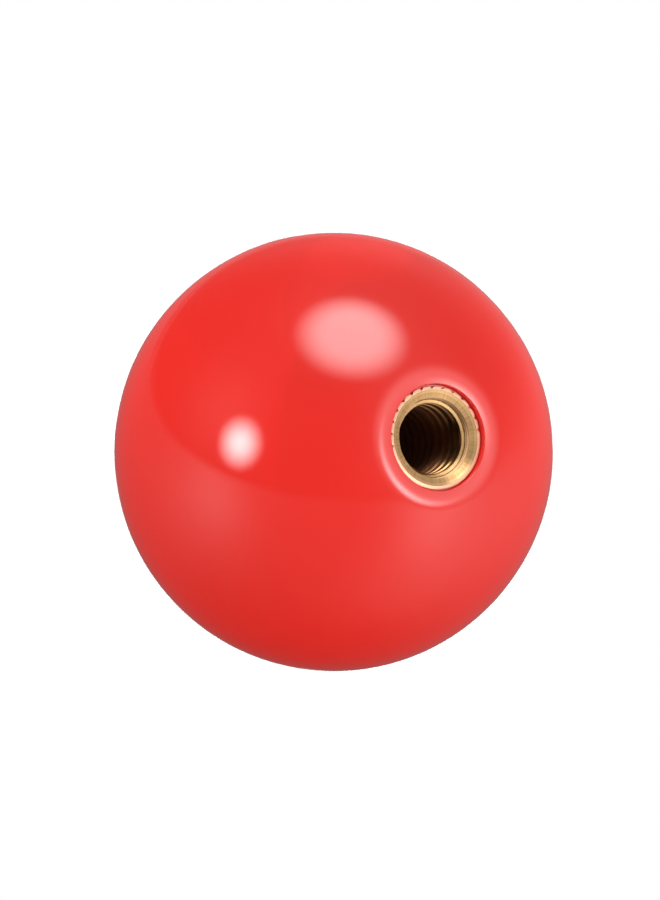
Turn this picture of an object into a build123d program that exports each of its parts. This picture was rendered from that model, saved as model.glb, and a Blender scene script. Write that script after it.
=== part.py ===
from build123d import *
import math
import os

# A ball top for a joystick lever: a solid moulded plastic ball with a knurled brass bush moulded into it.
# All sizes are in millimetres. The ball stands on its flat at z = 0 with the threaded mouth facing down,
# the origin is the centre of the flat, and +Z runs up the bore to the crown.

# Metric thread that screws onto the lever
THREAD_DIAMETER = 6.0
THREAD_PITCH = 1.0
THREAD_DEPTH = 12.0
DRILL_POINT_ANGLE = 118.0

# Mouth of the brass bush, from its outer edge inwards
LAND_WIDTH = 0.33
DISH_ANGLE = 22.0
COUNTERBORE_CLEARANCE = 0.1
COUNTERBORE_DEPTH = 0.47
COUNTERBORE_TAPER_ANGLE = 6.0
LEAD_IN_ANGLE = 15.0

# Body of the brass bush
BUSH_WALL = 1.0
BUSH_END_WALL = 1.5
BUSH_END_CHAMFER = 0.4
FRONT_BAND_LENGTH = 5.5
GROOVE_WIDTH = 2.0
GROOVE_DEPTH = 0.5

# Straight knurl rolled round the bush
KNURL_COUNT = 26
KNURL_DEPTH = 0.22
KNURL_ANGLE = 100.0

# Moulded ball
BALL_DIAMETER = 35.0
RIM_WIDTH = 1.3
RIM_ROUNDING = 3.0
RECESS_DEPTH = 0.4
RECESS_CLEARANCE = 0.05
RECESS_EDGE_CHAMFER = 0.06

# The bush, worked out from its thread and walls
BORE_RADIUS = (THREAD_DIAMETER - THREAD_PITCH) / 2
COUNTERBORE_RADIUS = THREAD_DIAMETER / 2 + COUNTERBORE_CLEARANCE
BUSH_RADIUS = THREAD_DIAMETER / 2 + BUSH_WALL
DISH_RADIUS = BUSH_RADIUS - LAND_WIDTH
DISH_DEPTH = (DISH_RADIUS - COUNTERBORE_RADIUS) * math.tan(math.radians(DISH_ANGLE))
COUNTERBORE_TAPER = COUNTERBORE_DEPTH * math.tan(math.radians(COUNTERBORE_TAPER_ANGLE))
COUNTERBORE_FLOOR_RADIUS = COUNTERBORE_RADIUS - COUNTERBORE_TAPER
LEAD_IN_DEPTH = (COUNTERBORE_FLOOR_RADIUS - BORE_RADIUS) * math.tan(math.radians(LEAD_IN_ANGLE))
DRILL_POINT_DEPTH = BORE_RADIUS / math.tan(math.radians(DRILL_POINT_ANGLE / 2))
BUSH_LENGTH = THREAD_DEPTH + DRILL_POINT_DEPTH + BUSH_END_WALL

# Heights of the bush above the flat
FACE_Z = RECESS_DEPTH
DISH_Z = FACE_Z + DISH_DEPTH
COUNTERBORE_Z = DISH_Z + COUNTERBORE_DEPTH
THREAD_START_Z = COUNTERBORE_Z + LEAD_IN_DEPTH
THREAD_END_Z = FACE_Z + THREAD_DEPTH
BUSH_TOP_Z = FACE_Z + BUSH_LENGTH

# The ball, worked out from its sphere and from the bush that its flat surrounds
BALL_RADIUS = BALL_DIAMETER / 2
RECESS_RADIUS = BUSH_RADIUS + RECESS_CLEARANCE
FLAT_RADIUS = RECESS_RADIUS + RIM_WIDTH
BALL_CENTRE_Z = math.sqrt(BALL_RADIUS**2 - FLAT_RADIUS**2)


def revolved(points):
    """Turn a closed outline of (radius, height) points round the bore axis."""
    outline = make_face(Polyline([(r, 0, z) for r, z in points], close=True))
    return revolve(outline, Axis.Z)


def bush_blank():
    """The outside of the turned bush: two bands with a retaining groove between them."""
    groove_radius = BUSH_RADIUS - GROOVE_DEPTH
    groove_start = FACE_Z + FRONT_BAND_LENGTH
    groove_end = groove_start + GROOVE_WIDTH
    return revolved(
        [
            (0, FACE_Z),
            (BUSH_RADIUS, FACE_Z),
            (BUSH_RADIUS, groove_start),
            (groove_radius, groove_start),
            (groove_radius, groove_end),
            (BUSH_RADIUS, groove_end),
            (BUSH_RADIUS, BUSH_TOP_Z - BUSH_END_CHAMFER),
            (BUSH_RADIUS - BUSH_END_CHAMFER, BUSH_TOP_Z),
            (0, BUSH_TOP_Z),
        ]
    )


def knurl_valleys():
    """The V valleys between the knurl's teeth, cut the whole length of the bush."""
    height = 2 * KNURL_DEPTH
    half_width = height * math.tan(math.radians(KNURL_ANGLE / 2))
    root = BUSH_RADIUS - KNURL_DEPTH
    outline = Polyline((root, 0), (root + height, -half_width), (root + height, half_width), close=True)
    prism = Pos(0, 0, FACE_Z) * extrude(make_face(outline), BUSH_LENGTH)
    return [place * prism for place in PolarLocations(0, KNURL_COUNT)]


def bush_bore():
    """What the drill, the counterbore and the dishing tool take out of the bush."""
    return revolved(
        [
            (0, FACE_Z),
            (DISH_RADIUS, FACE_Z),
            (COUNTERBORE_RADIUS, DISH_Z),
            (COUNTERBORE_FLOOR_RADIUS, COUNTERBORE_Z),
            (BORE_RADIUS, THREAD_START_Z),
            (BORE_RADIUS, THREAD_END_Z),
            (0, THREAD_END_Z + DRILL_POINT_DEPTH),
        ]
    )


def ball_moulding():
    """The ball before the bush takes its place, turned as one: sphere, rounded rim, flat and recess."""
    ball_centre = Vector(0, BALL_CENTRE_Z)
    reach = BALL_RADIUS - RIM_ROUNDING
    rounding_centre = Vector(math.sqrt(reach**2 - (BALL_CENTRE_Z - RIM_ROUNDING) ** 2), RIM_ROUNDING)
    outward = (rounding_centre - ball_centre) / reach
    meeting_angle = math.degrees(math.atan2(outward.Y, outward.X))
    rounding = CenterArc(rounding_centre, RIM_ROUNDING, -90, meeting_angle + 90)
    sphere = CenterArc(ball_centre, BALL_RADIUS, meeting_angle, 90 - meeting_angle)
    recess = Polyline(
        sphere @ 1,
        (0, RECESS_DEPTH),
        (RECESS_RADIUS, RECESS_DEPTH),
        (RECESS_RADIUS, RECESS_EDGE_CHAMFER),
        (RECESS_RADIUS + RECESS_EDGE_CHAMFER, 0),
        rounding @ 0,
    )
    return revolve(Plane.XZ * make_face(recess + rounding + sphere), Axis.Z)


knurled_blank = bush_blank() - knurl_valleys()

parts = {
    "ball": ball_moulding() - knurled_blank,
    "threaded_insert": knurled_blank - bush_bore(),
}

os.makedirs("parts", exist_ok=True)
for name, part in parts.items():
    part.label = name
    export_step(part, f"parts/{name}.step")
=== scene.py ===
import math

import bmesh
import bpy
from mathutils import Matrix, Vector


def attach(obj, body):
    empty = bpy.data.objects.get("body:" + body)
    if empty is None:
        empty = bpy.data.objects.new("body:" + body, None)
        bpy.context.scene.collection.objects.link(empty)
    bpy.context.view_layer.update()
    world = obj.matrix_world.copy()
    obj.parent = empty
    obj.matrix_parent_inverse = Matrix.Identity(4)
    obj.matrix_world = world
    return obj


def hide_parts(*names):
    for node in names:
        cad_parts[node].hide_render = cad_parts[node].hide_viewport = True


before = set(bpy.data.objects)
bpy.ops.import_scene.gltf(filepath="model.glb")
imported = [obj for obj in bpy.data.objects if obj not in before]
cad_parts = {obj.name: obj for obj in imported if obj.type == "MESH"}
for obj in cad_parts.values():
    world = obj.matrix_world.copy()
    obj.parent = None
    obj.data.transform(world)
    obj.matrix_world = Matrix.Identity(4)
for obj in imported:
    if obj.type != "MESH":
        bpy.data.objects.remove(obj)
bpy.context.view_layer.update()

# The threaded insert: a free-cutting brass bush, turned, straight-knurled and tapped M6 x 1.
# Its dished mouth shows in the ball's flat. The knurl's teeth and the groove round its
# middle hold it in the plastic that is moulded round it. Radii and heights are in millimetres.
MM = 0.001
BUSH_RADIUS = 4.0
GROOVE_RADIUS = 3.5
FACE_Z = 0.4
GROOVE_START_Z = 5.9
GROOVE_END_Z = 7.9
BUSH_TOP_Z = 15.4
BUSH_END_CHAMFER = 0.4

# The mouth: a narrow land that falls away a little, a dish, and a counterbore with a groove in its corner
DISH_RADIUS = 3.7
COUNTERBORE_RADIUS = 3.1
COUNTERBORE_FLOOR_RADIUS = 3.05
LAND_EDGE_Z = 0.44
DISH_Z = 0.63
COUNTERBORE_Z = 1.1
CORNER_GROOVE_WIDTH = 0.06
CORNER_GROOVE_DEPTH = 0.08
CORNER_GROOVE_STEP = 0.014
CORNER_LIP_WIDTH = 0.002
CORNER_LIP_HEIGHT = 0.02
EDGE_BREAK = 0.03
TOOTH_EDGE_BREAK = 0.07

# Two rings that keep the dish's shading straight, as shares of its width from the counterbore outwards
DISH_RING_SHARES = (0.08, 0.94)

# The bore is drawn at the radius where the real thread's rounded crests show
CREST_RADIUS = 2.73
THREAD_START_Z = 1.186
THREAD_END_Z = 12.4
DRILL_POINT_Z = 13.902

# The knurl, and the burr that the facing cut left in its valleys, with its place in degrees from +X.
# The slacks take in points that rounding puts just past the face or the side.
KNURL_COUNT = 26
KNURL_DEPTH = 0.22
STEPS_PER_TOOTH = 18
VALLEY_STEPS = 5
VALLEY_EDGE_DEPTH = 0.06 * KNURL_DEPTH
BURR_MIDDLE = 186
BURR_HALF_WIDTH = 79
BURR_HEIGHT = 0.12
FACE_SLACK = 0.001
SIDE_SLACK = 0.01

# The thread: its groove is cut a little past the major radius, as a tap leaves it
THREAD_PITCH = 1.0
THREAD_MAJOR_RADIUS = 3.0
THREAD_HALF_ANGLE = math.radians(30)
THREAD_FLANK_SLOPE = math.tan(THREAD_HALF_ANGLE)
THREAD_SHARP_RADIUS = THREAD_MAJOR_RADIUS + THREAD_PITCH * math.cos(THREAD_HALF_ANGLE) / 8
THREAD_GROOVE_ROOT = 3.03
THREAD_TOOL_CORE = 2.45
THREAD_GROOVE_START_Z = -0.522
THREAD_STEPS = 72
THREAD_TURNS = 12.5
BRASS_SMOOTH_ANGLE = 30

# Everything that lies round the insert's outside, from its face up, as (radius, height)
BUSH_SIDE = [
    (BUSH_RADIUS, GROOVE_START_Z),
    (GROOVE_RADIUS, GROOVE_START_Z),
    (GROOVE_RADIUS, GROOVE_END_Z),
    (BUSH_RADIUS, GROOVE_END_Z),
    (BUSH_RADIUS, BUSH_TOP_Z - BUSH_END_CHAMFER),
    (BUSH_RADIUS - BUSH_END_CHAMFER, BUSH_TOP_Z),
    (0, BUSH_TOP_Z),
]


def rounded_corner(before, corner, after, radius, parts=4):
    """Points of an arc of that radius in place of a corner, in the plane of an outline."""
    before, corner, after = Vector(before), Vector(corner), Vector(after)
    back, on = (before - corner).normalized(), (after - corner).normalized()
    half = back.angle(on) / 2
    centre = corner + (back + on).normalized() * radius / math.sin(half)
    start = corner + back * radius / math.tan(half) - centre
    end = corner + on * radius / math.tan(half) - centre
    return [tuple(centre + start.slerp(end, i / parts) * radius) for i in range(parts + 1)]


def turned(outline):
    """A closed bmesh in metres from an outline of (radius, height) in millimetres, turned round the bore."""
    bm = bmesh.new()
    points = [bm.verts.new((r * MM, 0, z * MM)) for r, z in outline]
    for a, b in zip(points, points[1:]):
        bm.edges.new((a, b))
    bmesh.ops.spin(
        bm,
        geom=bm.verts[:] + bm.edges[:],
        axis=(0, 0, 1),
        cent=(0, 0, 0),
        angle=math.tau,
        steps=KNURL_COUNT * STEPS_PER_TOOTH,
        use_merge=True,
    )
    bmesh.ops.remove_doubles(bm, verts=bm.verts, dist=1e-7)
    bmesh.ops.recalc_face_normals(bm, faces=bm.faces)
    return bm


def knurl(bm):
    """Draw everything that lies past the knurl's outline in to it, so that a valley comes on +X.

    The burr keeps the valleys closed at the face over its part of the round.
    """
    for v in bm.verts:
        bearing = math.degrees(math.atan2(v.co.y, v.co.x))
        step = bearing * KNURL_COUNT * STEPS_PER_TOOTH / 360
        away = abs((step + STEPS_PER_TOOTH / 2) % STEPS_PER_TOOTH - STEPS_PER_TOOTH / 2)
        depth = KNURL_DEPTH * max(1 - away / VALLEY_STEPS, 0)
        at_valley_edge = abs(away - VALLEY_STEPS) < 0.5
        if at_valley_edge:
            depth = VALLEY_EDGE_DEPTH
        limit = (BUSH_RADIUS - depth) * MM
        radius = math.hypot(v.co.x, v.co.y)
        off_burr = abs((bearing - BURR_MIDDLE + 180) % 360 - 180)
        if off_burr < BURR_HALF_WIDTH and v.co.z < (FACE_Z + BURR_HEIGHT) * MM:
            continue
        past_face = v.co.z > (FACE_Z - FACE_SLACK) * MM
        if past_face and limit < radius < (BUSH_RADIUS + SIDE_SLACK) * MM:
            v.co.x *= limit / radius
            v.co.y *= limit / radius


def piece(name, bm, material, smooth_angle):
    """Make a bmesh an object at the origin, shaded smoothly where its faces meet below that angle."""
    mesh = bpy.data.meshes.new(name)
    bm.to_mesh(mesh)
    bm.free()
    made = bpy.data.objects.new(name, mesh)
    bpy.context.scene.collection.objects.link(made)
    mesh.shade_smooth()
    mesh.set_sharp_from_angle(angle=math.radians(smooth_angle))
    mesh.materials.append(material)
    return made


# Where the Mix node has its two numbers, its two colours and the mixed colour
NUMBER_A = 2
NUMBER_B = 3
COLOUR_A = 6
COLOUR_B = 7
MIXED_COLOUR = 2


def linear(colour):
    """An sRGB hex colour as linear RGBA."""
    channels = [int(colour[i : i + 2], 16) / 255 for i in (1, 3, 5)]
    return [c / 12.92 if c <= 0.04045 else ((c + 0.055) / 1.055) ** 2.4 for c in channels] + [1.0]


def add(tree, kind, inputs=None, **settings):
    """Add a node with its settings, and set or link its inputs."""
    node = tree.nodes.new(kind)
    for name, value in settings.items():
        setattr(node, name, value)
    for name, value in (inputs or {}).items():
        if isinstance(value, bpy.types.NodeSocket):
            tree.links.new(value, node.inputs[name])
        else:
            node.inputs[name].default_value = value
    return node


# Free-cutting brass, turned and left bare: warm yellow, with fine rings where the tool passed, which spread
# its gloss, and with chatter marks across the dish. The counterbore's wall is painted paler than brass,
# with its rings as lines of painted sheen.
# The grooves of the thread are darker, partly from cutting oil and fine swarf and partly as painted shade,
# and the bore is painted darker as it gets deeper, which is painted shade.
BRASS = "#D6AA8C"
BRASS_DISH = "#C29D6E"
BRASS_DISH_DULL = "#A0794D"
# The counterbore wall's two colours are painted sheen: paler than the brass, in bright and dull lines
BRASS_WALL_SHEEN_BRIGHT = "#FFE2B4"
BRASS_WALL_SHEEN_DULL = "#CCA070"
# The thread's two browns are painted darker than the mouth's brass: painted shade inside the bore
BRASS_TAPPED_SHADED = "#8E6A46"
BRASS_CREST_SHADED = "#8A5A36"
# The brown of the oil in the grooves and of the painted shade deeper in the bore
BRASS_OIL_AND_SHADE = "#8E5E42"
TURNED_ROUGHNESS_LEAST = 0.32
TURNED_ROUGHNESS_MOST = 0.44
WALL_ROUGHNESS = 0.9
TAPPED_ROUGHNESS = 0.14
CREST_ROUGHNESS = 0.34
OIL_AND_SHADE_ROUGHNESS = 0.7

# The tool's feed is about 0.05 mm. The rings are drawn at 0.12 mm, and the chatter marks at about 0.14 mm
# where they cross the dish, so that they show.
TOOL_RING_SPACING = 0.12 * MM
TOOL_RING_DEPTH = 0.003 * MM
CHATTER_PER_RADIAN = 24.0

# Between these values of the noise the dish goes from bright to worn, and the wall's painted sheen from dull
# to bright
WORN_START = 0.8
WORN_END = 1.2
SHEEN_LINE_START = 0.42
SHEEN_LINE_END = 0.58

# Where each finish lies: radii and heights, and how far to each side of the wall and the crests it reaches
WALL_RADIUS = (COUNTERBORE_RADIUS + COUNTERBORE_FLOOR_RADIUS) / 2
WALL_REACH = 0.04
CREST_REACH = 0.01
# Where the grooves' oil and painted shade begin, and where the painted shade of the deeper bore starts and
# ends
OIL_AND_SHADE_START_RADIUS = 2.9
OIL_AND_SHADE_END_RADIUS = 3.0
DEEP_SHADE_START_Z = 2.5
DEEP_SHADE_END_Z = 6.0

brass = bpy.data.materials.new("turned_brass")
brass.use_nodes = True
tree = brass.node_tree
shader = tree.nodes["Principled BSDF"]
place = add(tree, "ShaderNodeTexCoord").outputs["Object"]
across = add(tree, "ShaderNodeVectorMath", {0: place, 1: (1, 1, 0)}, operation="MULTIPLY").outputs[0]
radius = add(tree, "ShaderNodeVectorMath", {0: across}, operation="LENGTH").outputs["Value"]
height = add(tree, "ShaderNodeSeparateXYZ", {0: place}).outputs["Z"]

# The tool's rings and chatter marks
along = add(tree, "ShaderNodeMath", {0: radius, 1: height}, operation="ADD").outputs[0]
rings = add(
    tree,
    "ShaderNodeTexNoise",
    {"W": along, "Scale": 1 / TOOL_RING_SPACING, "Detail": 2.0, "Roughness": 0.6},
    noise_dimensions="1D",
).outputs[0]
spoke = add(tree, "ShaderNodeVectorMath", {0: across}, operation="NORMALIZE").outputs[0]
chatter = add(
    tree, "ShaderNodeTexNoise", {"Vector": spoke, "Scale": CHATTER_PER_RADIAN, "Detail": 3.0}
).outputs[0]
marks = add(tree, "ShaderNodeMath", {0: rings, 1: chatter}, operation="ADD").outputs[0]
worn = add(
    tree, "ShaderNodeMapRange", {"Value": marks, "From Min": WORN_START, "From Max": WORN_END}
).outputs[0]
sheen_lines = add(
    tree, "ShaderNodeMapRange", {"Value": rings, "From Min": SHEEN_LINE_START, "From Max": SHEEN_LINE_END}
).outputs[0]

# Where each finish lies, as masks of 0 and 1 or a soft edge between them
on_dish = add(
    tree,
    "ShaderNodeMath",
    {0: radius, 1: (CREST_RADIUS + DISH_RADIUS) / 2 * MM, 2: (DISH_RADIUS - CREST_RADIUS) / 2 * MM},
    operation="COMPARE",
).outputs[0]
at_wall = add(
    tree, "ShaderNodeMath", {0: radius, 1: WALL_RADIUS * MM, 2: WALL_REACH * MM}, operation="COMPARE"
).outputs[0]
in_mouth = add(tree, "ShaderNodeMath", {0: height, 1: COUNTERBORE_Z * MM}, operation="LESS_THAN").outputs[0]
on_wall = add(tree, "ShaderNodeMath", {0: at_wall, 1: in_mouth}, operation="MULTIPLY").outputs[0]
inside = add(tree, "ShaderNodeMath", {0: height, 1: THREAD_START_Z * MM}, operation="GREATER_THAN").outputs[0]
on_crest = add(
    tree, "ShaderNodeMath", {0: radius, 1: (CREST_RADIUS + CREST_REACH) * MM}, operation="LESS_THAN"
).outputs[0]
outer = add(
    tree,
    "ShaderNodeMapRange",
    {"Value": radius, "From Min": OIL_AND_SHADE_START_RADIUS * MM, "From Max": OIL_AND_SHADE_END_RADIUS * MM},
).outputs[0]
# Painted shade: the thread's grooves, which also hold oil, and the bore more and more as it gets deeper
in_groove = add(tree, "ShaderNodeMath", {0: outer, 1: inside}, operation="MULTIPLY").outputs[0]
deep = add(
    tree,
    "ShaderNodeMapRange",
    {"Value": height, "From Min": DEEP_SHADE_START_Z * MM, "From Max": DEEP_SHADE_END_Z * MM},
).outputs[0]
oil_and_shade = add(tree, "ShaderNodeMath", {0: in_groove, 1: deep}, operation="MAXIMUM").outputs[0]

# The colour, from the outside of the bush to the thread's far end, which is darkened by oil and painted shade
dish = add(
    tree,
    "ShaderNodeMix",
    {"Factor": worn, COLOUR_A: linear(BRASS_DISH), COLOUR_B: linear(BRASS_DISH_DULL)},
    data_type="RGBA",
).outputs[MIXED_COLOUR]
# Painted sheen: the wall is painted pale, with bright and dull lines along the tool's rings
wall = add(
    tree,
    "ShaderNodeMix",
    {"Factor": sheen_lines, COLOUR_A: linear(BRASS_WALL_SHEEN_DULL), COLOUR_B: linear(BRASS_WALL_SHEEN_BRIGHT)},
    data_type="RGBA",
).outputs[MIXED_COLOUR]
# Painted shade: the thread is coloured darker than the mouth's brass
thread = add(
    tree,
    "ShaderNodeMix",
    {"Factor": on_crest, COLOUR_A: linear(BRASS_TAPPED_SHADED), COLOUR_B: linear(BRASS_CREST_SHADED)},
    data_type="RGBA",
).outputs[MIXED_COLOUR]
dished = add(
    tree, "ShaderNodeMix", {"Factor": on_dish, COLOUR_A: linear(BRASS), COLOUR_B: dish}, data_type="RGBA"
).outputs[MIXED_COLOUR]
bored = add(
    tree, "ShaderNodeMix", {"Factor": on_wall, COLOUR_A: dished, COLOUR_B: wall}, data_type="RGBA"
).outputs[MIXED_COLOUR]
tapped = add(
    tree, "ShaderNodeMix", {"Factor": inside, COLOUR_A: bored, COLOUR_B: thread}, data_type="RGBA"
).outputs[MIXED_COLOUR]
colour = add(
    tree, "ShaderNodeMix", {"Factor": oil_and_shade, COLOUR_A: tapped, COLOUR_B: linear(BRASS_OIL_AND_SHADE)}, data_type="RGBA"
).outputs[MIXED_COLOUR]

# The roughness, over the same places
turned_finish = add(
    tree,
    "ShaderNodeMapRange",
    {"Value": rings, "To Min": TURNED_ROUGHNESS_LEAST, "To Max": TURNED_ROUGHNESS_MOST},
).outputs[0]
thread_finish = add(
    tree, "ShaderNodeMix", {"Factor": on_crest, NUMBER_A: TAPPED_ROUGHNESS, NUMBER_B: CREST_ROUGHNESS}
).outputs[0]
oil_and_shade_finish = add(
    tree, "ShaderNodeMix", {"Factor": oil_and_shade, NUMBER_A: thread_finish, NUMBER_B: OIL_AND_SHADE_ROUGHNESS}
).outputs[0]
tapped_finish = add(
    tree, "ShaderNodeMix", {"Factor": inside, NUMBER_A: turned_finish, NUMBER_B: oil_and_shade_finish}
).outputs[0]
roughness = add(
    tree, "ShaderNodeMix", {"Factor": on_wall, NUMBER_A: tapped_finish, NUMBER_B: WALL_ROUGHNESS}
).outputs[0]

bump = add(tree, "ShaderNodeBump", {"Height": rings, "Strength": 1.0, "Distance": TOOL_RING_DEPTH})
around = add(tree, "ShaderNodeTangent", direction_type="RADIAL", axis="Z").outputs[0]
tree.links.new(colour, shader.inputs["Base Color"])
tree.links.new(bump.outputs[0], shader.inputs["Normal"])
tree.links.new(roughness, shader.inputs["Roughness"])
tree.links.new(around, shader.inputs["Tangent"])
shader.inputs["Metallic"].default_value = 1.0
shader.inputs["Anisotropic"].default_value = 0.9
shader.inputs["Anisotropic Rotation"].default_value = 0.25

# The bush as it leaves the lathe, from the drill point down the bore, out over its face and up its side
floor_corner = (COUNTERBORE_FLOOR_RADIUS, COUNTERBORE_Z)
counterbore_edge = (COUNTERBORE_RADIUS, DISH_Z)
dish_edge = (DISH_RADIUS, FACE_Z)
land_edge = (BUSH_RADIUS, LAND_EDGE_Z)
corner_groove = [
    (COUNTERBORE_FLOOR_RADIUS - CORNER_GROOVE_WIDTH, COUNTERBORE_Z + CORNER_GROOVE_STEP),
    (COUNTERBORE_FLOOR_RADIUS, COUNTERBORE_Z + CORNER_GROOVE_DEPTH),
    (COUNTERBORE_FLOOR_RADIUS + CORNER_LIP_WIDTH, COUNTERBORE_Z - CORNER_LIP_HEIGHT),
]
dish_rings = [
    (COUNTERBORE_RADIUS + t * (DISH_RADIUS - COUNTERBORE_RADIUS), DISH_Z + t * (FACE_Z - DISH_Z))
    for t in DISH_RING_SHARES
]
bush = turned(
    [(0, DRILL_POINT_Z), (CREST_RADIUS, THREAD_END_Z), (CREST_RADIUS, THREAD_START_Z)]
    + corner_groove
    + rounded_corner(floor_corner, counterbore_edge, dish_edge, EDGE_BREAK)
    + dish_rings
    + rounded_corner(counterbore_edge, dish_edge, land_edge, EDGE_BREAK)
    + rounded_corner(dish_edge, land_edge, BUSH_SIDE[0], TOOTH_EDGE_BREAK)
    + BUSH_SIDE
)
knurl(bush)
threaded_insert = piece("bush", bush, brass, BRASS_SMOOTH_ANGLE)

# What the tap cuts out of the bush: one ridge of thread, wound up the bore
tap = bmesh.new()
ridge_corners = [
    (THREAD_TOOL_CORE, -1),
    (THREAD_GROOVE_ROOT, -1),
    (THREAD_GROOVE_ROOT, 1),
    (THREAD_TOOL_CORE, 1),
]
ridge = []
for r, side in ridge_corners:
    flank = side * (THREAD_SHARP_RADIUS - r) * THREAD_FLANK_SLOPE
    ridge.append(tap.verts.new((r * MM, 0, (THREAD_GROOVE_START_Z + flank) * MM)))
for i in range(len(ridge)):
    tap.edges.new((ridge[i - 1], ridge[i]))
bmesh.ops.spin(
    tap,
    geom=tap.verts[:] + tap.edges[:],
    axis=(0, 0, 1),
    cent=(0, 0, 0),
    dvec=(0, 0, THREAD_PITCH * MM / THREAD_STEPS),
    angle=math.tau * THREAD_TURNS,
    steps=int(THREAD_STEPS * THREAD_TURNS),
)
bmesh.ops.holes_fill(tap, edges=tap.edges, sides=len(ridge))
bmesh.ops.recalc_face_normals(tap, faces=tap.faces)
tap_ridge = piece("tap_ridge", tap, brass, BRASS_SMOOTH_ANGLE)
cut = threaded_insert.modifiers.new("thread", "BOOLEAN")
cut.object = tap_ridge
cut.operation = "DIFFERENCE"
cut.solver = "EXACT"
bpy.context.view_layer.update()
after_cut = threaded_insert.evaluated_get(bpy.context.evaluated_depsgraph_get())
threaded = bpy.data.meshes.new_from_object(after_cut)
threaded_insert.modifiers.clear()
threaded_insert.data = threaded
threaded.shade_smooth()
threaded.set_sharp_from_angle(angle=math.radians(BRASS_SMOOTH_ANGLE))
bpy.data.objects.remove(tap_ridge)
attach(threaded_insert, "root")
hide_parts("threaded_insert")

# The ball: solid thermoset plastic, moulded round the insert in a two-part mould and polished.
# The flat round the mouth runs into the sphere by a 3 mm rounding, the insert sits in a shallow
# recess, and a hair line at the widest place shows where the mould's halves met.
BALL_RADIUS = 17.5
BALL_CENTRE_Z = 16.662
RIM_ROUNDING = 3.0
RECESS_RADIUS = 4.1
RECESS_FLOOR_Z = 0.65
RECESS_EDGE_RADIUS = 0.06
RECESS_CORNER_RADIUS = 0.03
SPHERE_STEP = 1.5
ROUNDING_STEP = 2.5
PARTING_HALF_WIDTH = 0.06
PARTING_DEPTH = 0.006
PLASTIC_SMOOTH_ANGLE = 40

reach = BALL_RADIUS - RIM_ROUNDING
rounding_x = math.sqrt(reach**2 - (BALL_CENTRE_Z - RIM_ROUNDING) ** 2)
meeting_angle = math.degrees(math.atan2(RIM_ROUNDING - BALL_CENTRE_Z, rounding_x))
parting_angle = math.degrees(PARTING_HALF_WIDTH / BALL_RADIUS)


def arc(centre_x, centre_z, radius, start, end, step):
    """Points along an arc, its angles in degrees up from the level."""
    count = max(1, round(abs(end - start) / step))
    angles = [math.radians(start + (end - start) * i / count) for i in range(count + 1)]
    return [(centre_x + radius * math.cos(a), centre_z + radius * math.sin(a)) for a in angles]


flat_edge = (rounding_x, 0)
recess_edge = (RECESS_RADIUS, 0)
recess_corner = (RECESS_RADIUS, RECESS_FLOOR_Z)
recess_end = (BUSH_RADIUS, RECESS_FLOOR_Z)
ball_outline = (
    [(0, BALL_CENTRE_Z + BALL_RADIUS)]
    + arc(0, BALL_CENTRE_Z, BALL_RADIUS, 90 - SPHERE_STEP, parting_angle * 2, SPHERE_STEP)
    + [(BALL_RADIUS - PARTING_DEPTH, BALL_CENTRE_Z + PARTING_HALF_WIDTH / 2)]
    + [(BALL_RADIUS - PARTING_DEPTH, BALL_CENTRE_Z - PARTING_HALF_WIDTH / 2)]
    + arc(0, BALL_CENTRE_Z, BALL_RADIUS, -parting_angle * 2, meeting_angle, SPHERE_STEP)
    + arc(rounding_x, RIM_ROUNDING, RIM_ROUNDING, meeting_angle, -90, ROUNDING_STEP)[1:]
    + rounded_corner(flat_edge, recess_edge, recess_corner, RECESS_EDGE_RADIUS)
    + rounded_corner(recess_edge, recess_corner, recess_end, RECESS_CORNER_RADIUS)
    + [recess_end]
    + BUSH_SIDE
)

# Glossy red moulded plastic: an even, saturated red with a clear polished skin. The skin ripples
# by a micrometre or two, over a few millimetres, as polished mouldings do.
RED = "#F7342C"
RED_DEEP = "#F4312A"
SHADE_SPACING = 6 * MM
RIPPLE_SPACING = 4 * MM
RIPPLE_DEPTH = 0.004 * MM
POLISH_ROUGHNESS_LEAST = 0.05
POLISH_ROUGHNESS_MOST = 0.08

red_plastic = bpy.data.materials.new("moulded_red_plastic")
red_plastic.use_nodes = True
tree = red_plastic.node_tree
shader = tree.nodes["Principled BSDF"]
place = add(tree, "ShaderNodeTexCoord").outputs["Object"]
shades = add(
    tree, "ShaderNodeTexNoise", {"Vector": place, "Scale": 1 / SHADE_SPACING, "Detail": 2.0}
).outputs[0]
colour = add(
    tree,
    "ShaderNodeMix",
    {"Factor": shades, COLOUR_A: linear(RED), COLOUR_B: linear(RED_DEEP)},
    data_type="RGBA",
)
skin = add(
    tree, "ShaderNodeTexNoise", {"Vector": place, "Scale": 1 / RIPPLE_SPACING, "Detail": 1.0}
).outputs[0]
bump = add(tree, "ShaderNodeBump", {"Height": skin, "Strength": 1.0, "Distance": RIPPLE_DEPTH})
roughness = add(
    tree,
    "ShaderNodeMapRange",
    {"Value": shades, "To Min": POLISH_ROUGHNESS_LEAST, "To Max": POLISH_ROUGHNESS_MOST},
)
tree.links.new(colour.outputs[MIXED_COLOUR], shader.inputs["Base Color"])
tree.links.new(bump.outputs[0], shader.inputs["Normal"])
tree.links.new(roughness.outputs[0], shader.inputs["Roughness"])
shader.inputs["IOR"].default_value = 1.5

moulding = turned(ball_outline)
knurl(moulding)
ball = piece("moulded_ball", moulding, red_plastic, PLASTIC_SMOOTH_ANGLE)
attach(ball, "root")
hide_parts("ball")

# The camera looks up into the mouth from below, at the photograph's angle. It turns round the
# ball's middle, by degrees, and stands back far enough for a flat, long-lens view.
CAMERA_AZIMUTH = 9.28
CAMERA_TILT = 150.96
CAMERA_ROLL = -97.96
CAMERA_DISTANCE = 0.35
CAMERA_LENS = 175.6
CAMERA_SHIFT_X = -0.00406
CAMERA_SHIFT_Y = 0.00216
CAMERA_CLIP_START = 0.01

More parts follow.
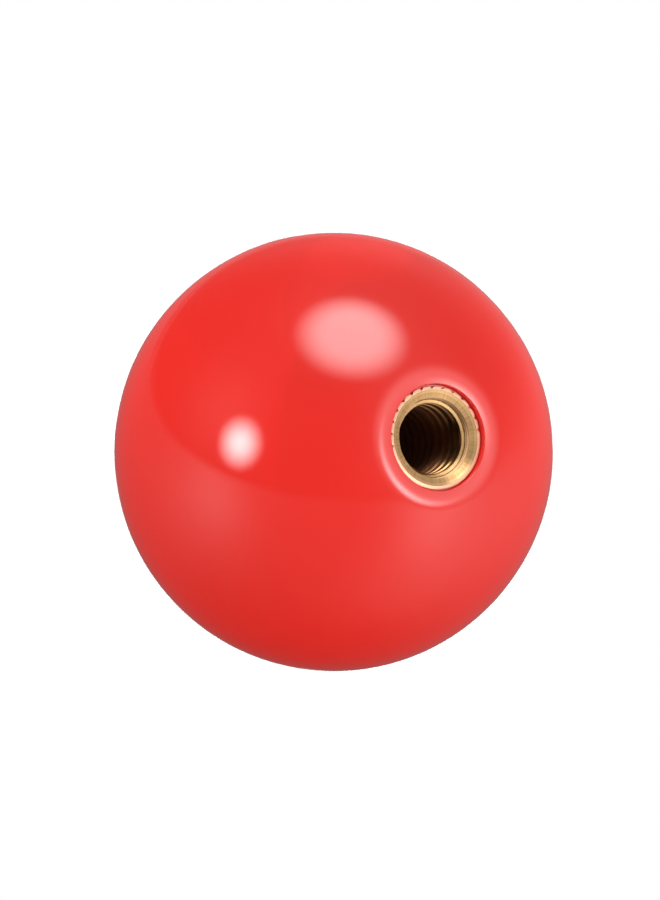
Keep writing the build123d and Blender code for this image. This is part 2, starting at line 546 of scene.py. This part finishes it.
ball_centre = Vector((0, 0, BALL_CENTRE_Z * MM))
camera_turn = (
    Matrix.Rotation(math.radians(CAMERA_AZIMUTH), 4, "Z")
    @ Matrix.Rotation(math.radians(CAMERA_TILT), 4, "X")
    @ Matrix.Rotation(math.radians(CAMERA_ROLL), 4, "Z")
)
camera = bpy.data.objects.new("camera", bpy.data.cameras.new("camera"))
bpy.context.scene.collection.objects.link(camera)
bpy.context.scene.camera = camera
camera.data.lens = CAMERA_LENS
camera.data.shift_x = CAMERA_SHIFT_X
camera.data.shift_y = CAMERA_SHIFT_Y
camera.data.clip_start = CAMERA_CLIP_START
camera_place = camera_turn @ Matrix.Translation((0, 0, CAMERA_DISTANCE))
camera.matrix_world = Matrix.Translation(ball_centre) @ camera_place

# The studio's soft boxes, round the ball. Each one's place is in degrees to the right of the camera and
# up from it, its width is how wide it looks from the ball, and its edge is the share that fades out.
# Its gloss is what polished things show, and its fill is what lights the colours.
LAMP_DISTANCE = 0.6


def towards(right, up):
    """The way to turn from the camera's side of the ball to a place in the studio."""
    sideways = Matrix.Rotation(math.radians(right), 4, "Y")
    upwards = Matrix.Rotation(math.radians(-up), 4, "X")
    return camera_turn @ sideways @ upwards


def soft_box(name, right, up, width, edge, gloss=0.0, fill=0.0):
    """A round lamp whose light fades out towards its edge, aimed at the ball."""
    size = 2 * LAMP_DISTANCE * math.tan(math.radians(width / 2))
    for suffix, radiance, unseen in (("gloss", gloss, "visible_diffuse"), ("fill", fill, "visible_glossy")):
        if radiance == 0:
            continue
        light = bpy.data.lights.new(f"{name}_{suffix}", "AREA")
        light.shape = "SQUARE"
        light.size = size
        light.energy = radiance * math.pi * size**2
        light.use_nodes = True
        tree = light.node_tree
        spot = add(tree, "ShaderNodeNewGeometry").outputs["Parametric"]
        away = add(tree, "ShaderNodeVectorMath", {0: spot, 1: (0.5, 0.5, 0)}, operation="DISTANCE")
        fade = add(
            tree,
            "ShaderNodeMapRange",
            {
                "Value": away.outputs["Value"],
                "From Min": (1 - edge) / 2,
                "From Max": 0.5,
                "To Min": 1.0,
                "To Max": 0.0,
            },
            interpolation_type="SMOOTHSTEP",
        )
        tree.links.new(fade.outputs[0], tree.nodes["Emission"].inputs["Strength"])
        lamp = bpy.data.objects.new(light.name, light)
        bpy.context.scene.collection.objects.link(lamp)
        lamp.matrix_world = (
            Matrix.Translation(ball_centre) @ towards(right, up) @ Matrix.Translation((0, 0, LAMP_DISTANCE))
        )
        lamp.visible_camera = False
        setattr(lamp, unseen, False)


soft_box("overhead_box", right=16.7, up=61.4, width=55.2, edge=0.64, gloss=7.8, fill=5.4)
soft_box("left_lamp", right=-48.7, up=4.2, width=29, edge=1.0, gloss=20.5, fill=15.6)
soft_box("right_lamp", right=50, up=-2, width=26, edge=1.0, gloss=9.1, fill=9.6)
soft_box("right_fill", right=90, up=-30, width=70, edge=1.0, fill=2.0)
soft_box("left_fill", right=-90, up=40, width=70, edge=1.0, fill=0.8)
soft_box("back_fill", right=150, up=30, width=70, edge=1.0, fill=5.6)
soft_box("back_lamp", right=180, up=0, width=16, edge=0.5, gloss=14.0)

# The room as polished things show it: dark over a white table's horizon, with the lamps' glow on the
# walls and in pools on the table, and the table dark where the ball lies. A haze softens the horizon
# at the right. The room is open behind the object, so that the white there shows at the ball's edge.
ROOM_RADIUS = 1.2
ROOM_SUBDIVISIONS = 5
OPENING_HALF_ANGLE = 12
HORIZON_RIGHT = 10
HORIZON_UP = 65
HORIZON_SOFTNESS = 0.035
HORIZON_HAZE = 0.25
TABLE_GLOW = 0.27
TABLE_SHADE_WIDTH = 62.5

room_shape = bmesh.new()
bmesh.ops.create_icosphere(
    room_shape, subdivisions=ROOM_SUBDIVISIONS, radius=ROOM_RADIUS, matrix=Matrix.Translation(ball_centre)
)
behind = camera_turn.to_3x3() @ Vector((0, 0, -1))
opening = [
    f
    for f in room_shape.faces
    if (f.calc_center_median() - ball_centre).angle(behind) < math.radians(OPENING_HALF_ANGLE)
]
bmesh.ops.delete(room_shape, geom=opening, context="FACES")
room_mesh = bpy.data.meshes.new("room")
room_shape.to_mesh(room_mesh)
room_shape.free()
room = bpy.data.objects.new("room", room_mesh)
bpy.context.scene.collection.objects.link(room)
room.visible_camera = room.visible_diffuse = room.visible_shadow = room.visible_transmission = False
room_paint = bpy.data.materials.new("dim_room")
room_paint.use_nodes = True
tree = room_paint.node_tree
tree.nodes.clear()
place = add(tree, "ShaderNodeTexCoord").outputs["Object"]
from_ball = add(tree, "ShaderNodeVectorMath", {0: place, 1: ball_centre}, operation="SUBTRACT").outputs[0]
outward = add(tree, "ShaderNodeVectorMath", {0: from_ball}, operation="NORMALIZE").outputs[0]


def glow(right, up, half_width, radiance):
    """A soft pool of light on the room, half as bright at half_width degrees from its middle."""
    middle = towards(right, up).to_3x3() @ Vector((0, 0, 1))
    sharpness = math.log(2) / (1 - math.cos(math.radians(half_width)))
    facing = add(tree, "ShaderNodeVectorMath", {0: outward, 1: middle}, operation="DOT_PRODUCT")
    fall = {0: facing.outputs["Value"], 1: sharpness, 2: math.log(radiance) - sharpness}
    power = add(tree, "ShaderNodeMath", fall, operation="MULTIPLY_ADD").outputs[0]
    return add(tree, "ShaderNodeMath", {0: power}, operation="EXPONENT").outputs[0]


def together(first, *others):
    """The light of several pools added up."""
    for other in others:
        first = add(tree, "ShaderNodeMath", {0: first, 1: other}, operation="ADD").outputs[0]
    return first


walls = together(
    glow(right=52.5, up=6.4, half_width=18.6, radiance=2.46),
    glow(right=109, up=11, half_width=41, radiance=0.18),
    glow(right=25, up=67, half_width=25, radiance=0.67),
    glow(right=170, up=45, half_width=23, radiance=0.23),
    glow(right=-60, up=18, half_width=18, radiance=0.48),
)
pools = together(
    glow(right=-66, up=-20, half_width=14, radiance=1.2),
    glow(right=-82, up=-28, half_width=24, radiance=0.88),
    glow(right=60, up=-33, half_width=16, radiance=1.8),
    glow(right=91, up=-28, half_width=25, radiance=0.84),
    glow(right=89, up=-66, half_width=22, radiance=1.5),
)
lit_table = add(tree, "ShaderNodeMath", {0: pools, 1: TABLE_GLOW}, operation="ADD").outputs[0]
shade = glow(right=HORIZON_RIGHT, up=HORIZON_UP - 180, half_width=TABLE_SHADE_WIDTH, radiance=1.0)
unshaded = add(tree, "ShaderNodeMath", {0: 1.0, 1: shade}, operation="SUBTRACT").outputs[0]
table = add(tree, "ShaderNodeMath", {0: lit_table, 1: unshaded}, operation="MULTIPLY").outputs[0]
upward = towards(HORIZON_RIGHT, HORIZON_UP).to_3x3() @ Vector((0, 0, 1))
rise = add(tree, "ShaderNodeVectorMath", {0: outward, 1: upward}, operation="DOT_PRODUCT").outputs["Value"]
haze = glow(right=120, up=30, half_width=50, radiance=HORIZON_HAZE)
soft = add(tree, "ShaderNodeMath", {0: haze, 1: HORIZON_SOFTNESS}, operation="ADD").outputs[0]
low = add(tree, "ShaderNodeMath", {0: soft, 1: -1.0}, operation="MULTIPLY").outputs[0]
below = add(
    tree,
    "ShaderNodeMapRange",
    {"Value": rise, "From Min": low, "From Max": soft, "To Min": 1.0, "To Max": 0.0},
    interpolation_type="SMOOTHSTEP",
).outputs[0]
strength = add(tree, "ShaderNodeMath", {0: table, 1: below, 2: walls}, operation="MULTIPLY_ADD").outputs[0]
glowing = add(tree, "ShaderNodeEmission", {"Color": linear("#FFFFFF"), "Strength": strength})
add(tree, "ShaderNodeOutputMaterial", {"Surface": glowing.outputs[0]})
room_mesh.materials.append(room_paint)

# A plain pale floor of matt paper where the ball stands. It lies a hair below the ball, and from
# below it is clear, so it lets through what looks or shines up.
FLOOR_RADIUS = 4.0
FLOOR_Z = -0.00005
FLOOR_SIDES = 96
PAPER = "#F4F4F2"

floor_shape = bmesh.new()
bmesh.ops.create_circle(
    floor_shape,
    cap_ends=True,
    segments=FLOOR_SIDES,
    radius=FLOOR_RADIUS,
    matrix=Matrix.Translation((0, 0, FLOOR_Z)),
)
floor_mesh = bpy.data.meshes.new("floor")
floor_shape.to_mesh(floor_mesh)
floor_shape.free()
floor = bpy.data.objects.new("floor", floor_mesh)
bpy.context.scene.collection.objects.link(floor)
floor.visible_diffuse = floor.visible_glossy = floor.visible_shadow = floor.visible_transmission = False
floor_paint = bpy.data.materials.new("pale_matt_paper")
floor_paint.use_nodes = True
tree = floor_paint.node_tree
tree.nodes.clear()
paper = add(tree, "ShaderNodeBsdfDiffuse", {"Color": linear(PAPER)})
clear = add(tree, "ShaderNodeBsdfTransparent")
under = add(tree, "ShaderNodeNewGeometry").outputs["Backfacing"]
sheet = add(tree, "ShaderNodeMixShader", {0: under, 1: paper.outputs[0], 2: clear.outputs[0]})
add(tree, "ShaderNodeOutputMaterial", {"Surface": sheet.outputs[0]})
floor_mesh.materials.append(floor_paint)

# White behind everything, as the camera and polished things see it, and an even light from all
# round for the rest.
EVEN_LIGHT = 0.62

world = bpy.data.worlds.new("studio")
bpy.context.scene.world = world
world.use_nodes = True
tree = world.node_tree
tree.nodes.clear()
path = add(tree, "ShaderNodeLightPath").outputs
in_sight = {0: path["Is Camera Ray"], 1: path["Is Glossy Ray"]}
direct = add(tree, "ShaderNodeMath", in_sight, operation="MAXIMUM").outputs[0]
through = {0: direct, 1: path["Is Transmission Ray"]}
seen = add(tree, "ShaderNodeMath", through, operation="MAXIMUM").outputs[0]
even_light = add(tree, "ShaderNodeBackground", {"Color": linear("#FFFFFF"), "Strength": EVEN_LIGHT})
white = add(tree, "ShaderNodeBackground", {"Color": linear("#FFFFFF"), "Strength": 1.0})
mixed = add(tree, "ShaderNodeMixShader", {0: seen, 1: even_light.outputs[0], 2: white.outputs[0]})
add(tree, "ShaderNodeOutputWorld", {"Surface": mixed.outputs[0]})

bpy.context.scene.view_settings.view_transform = "Standard"
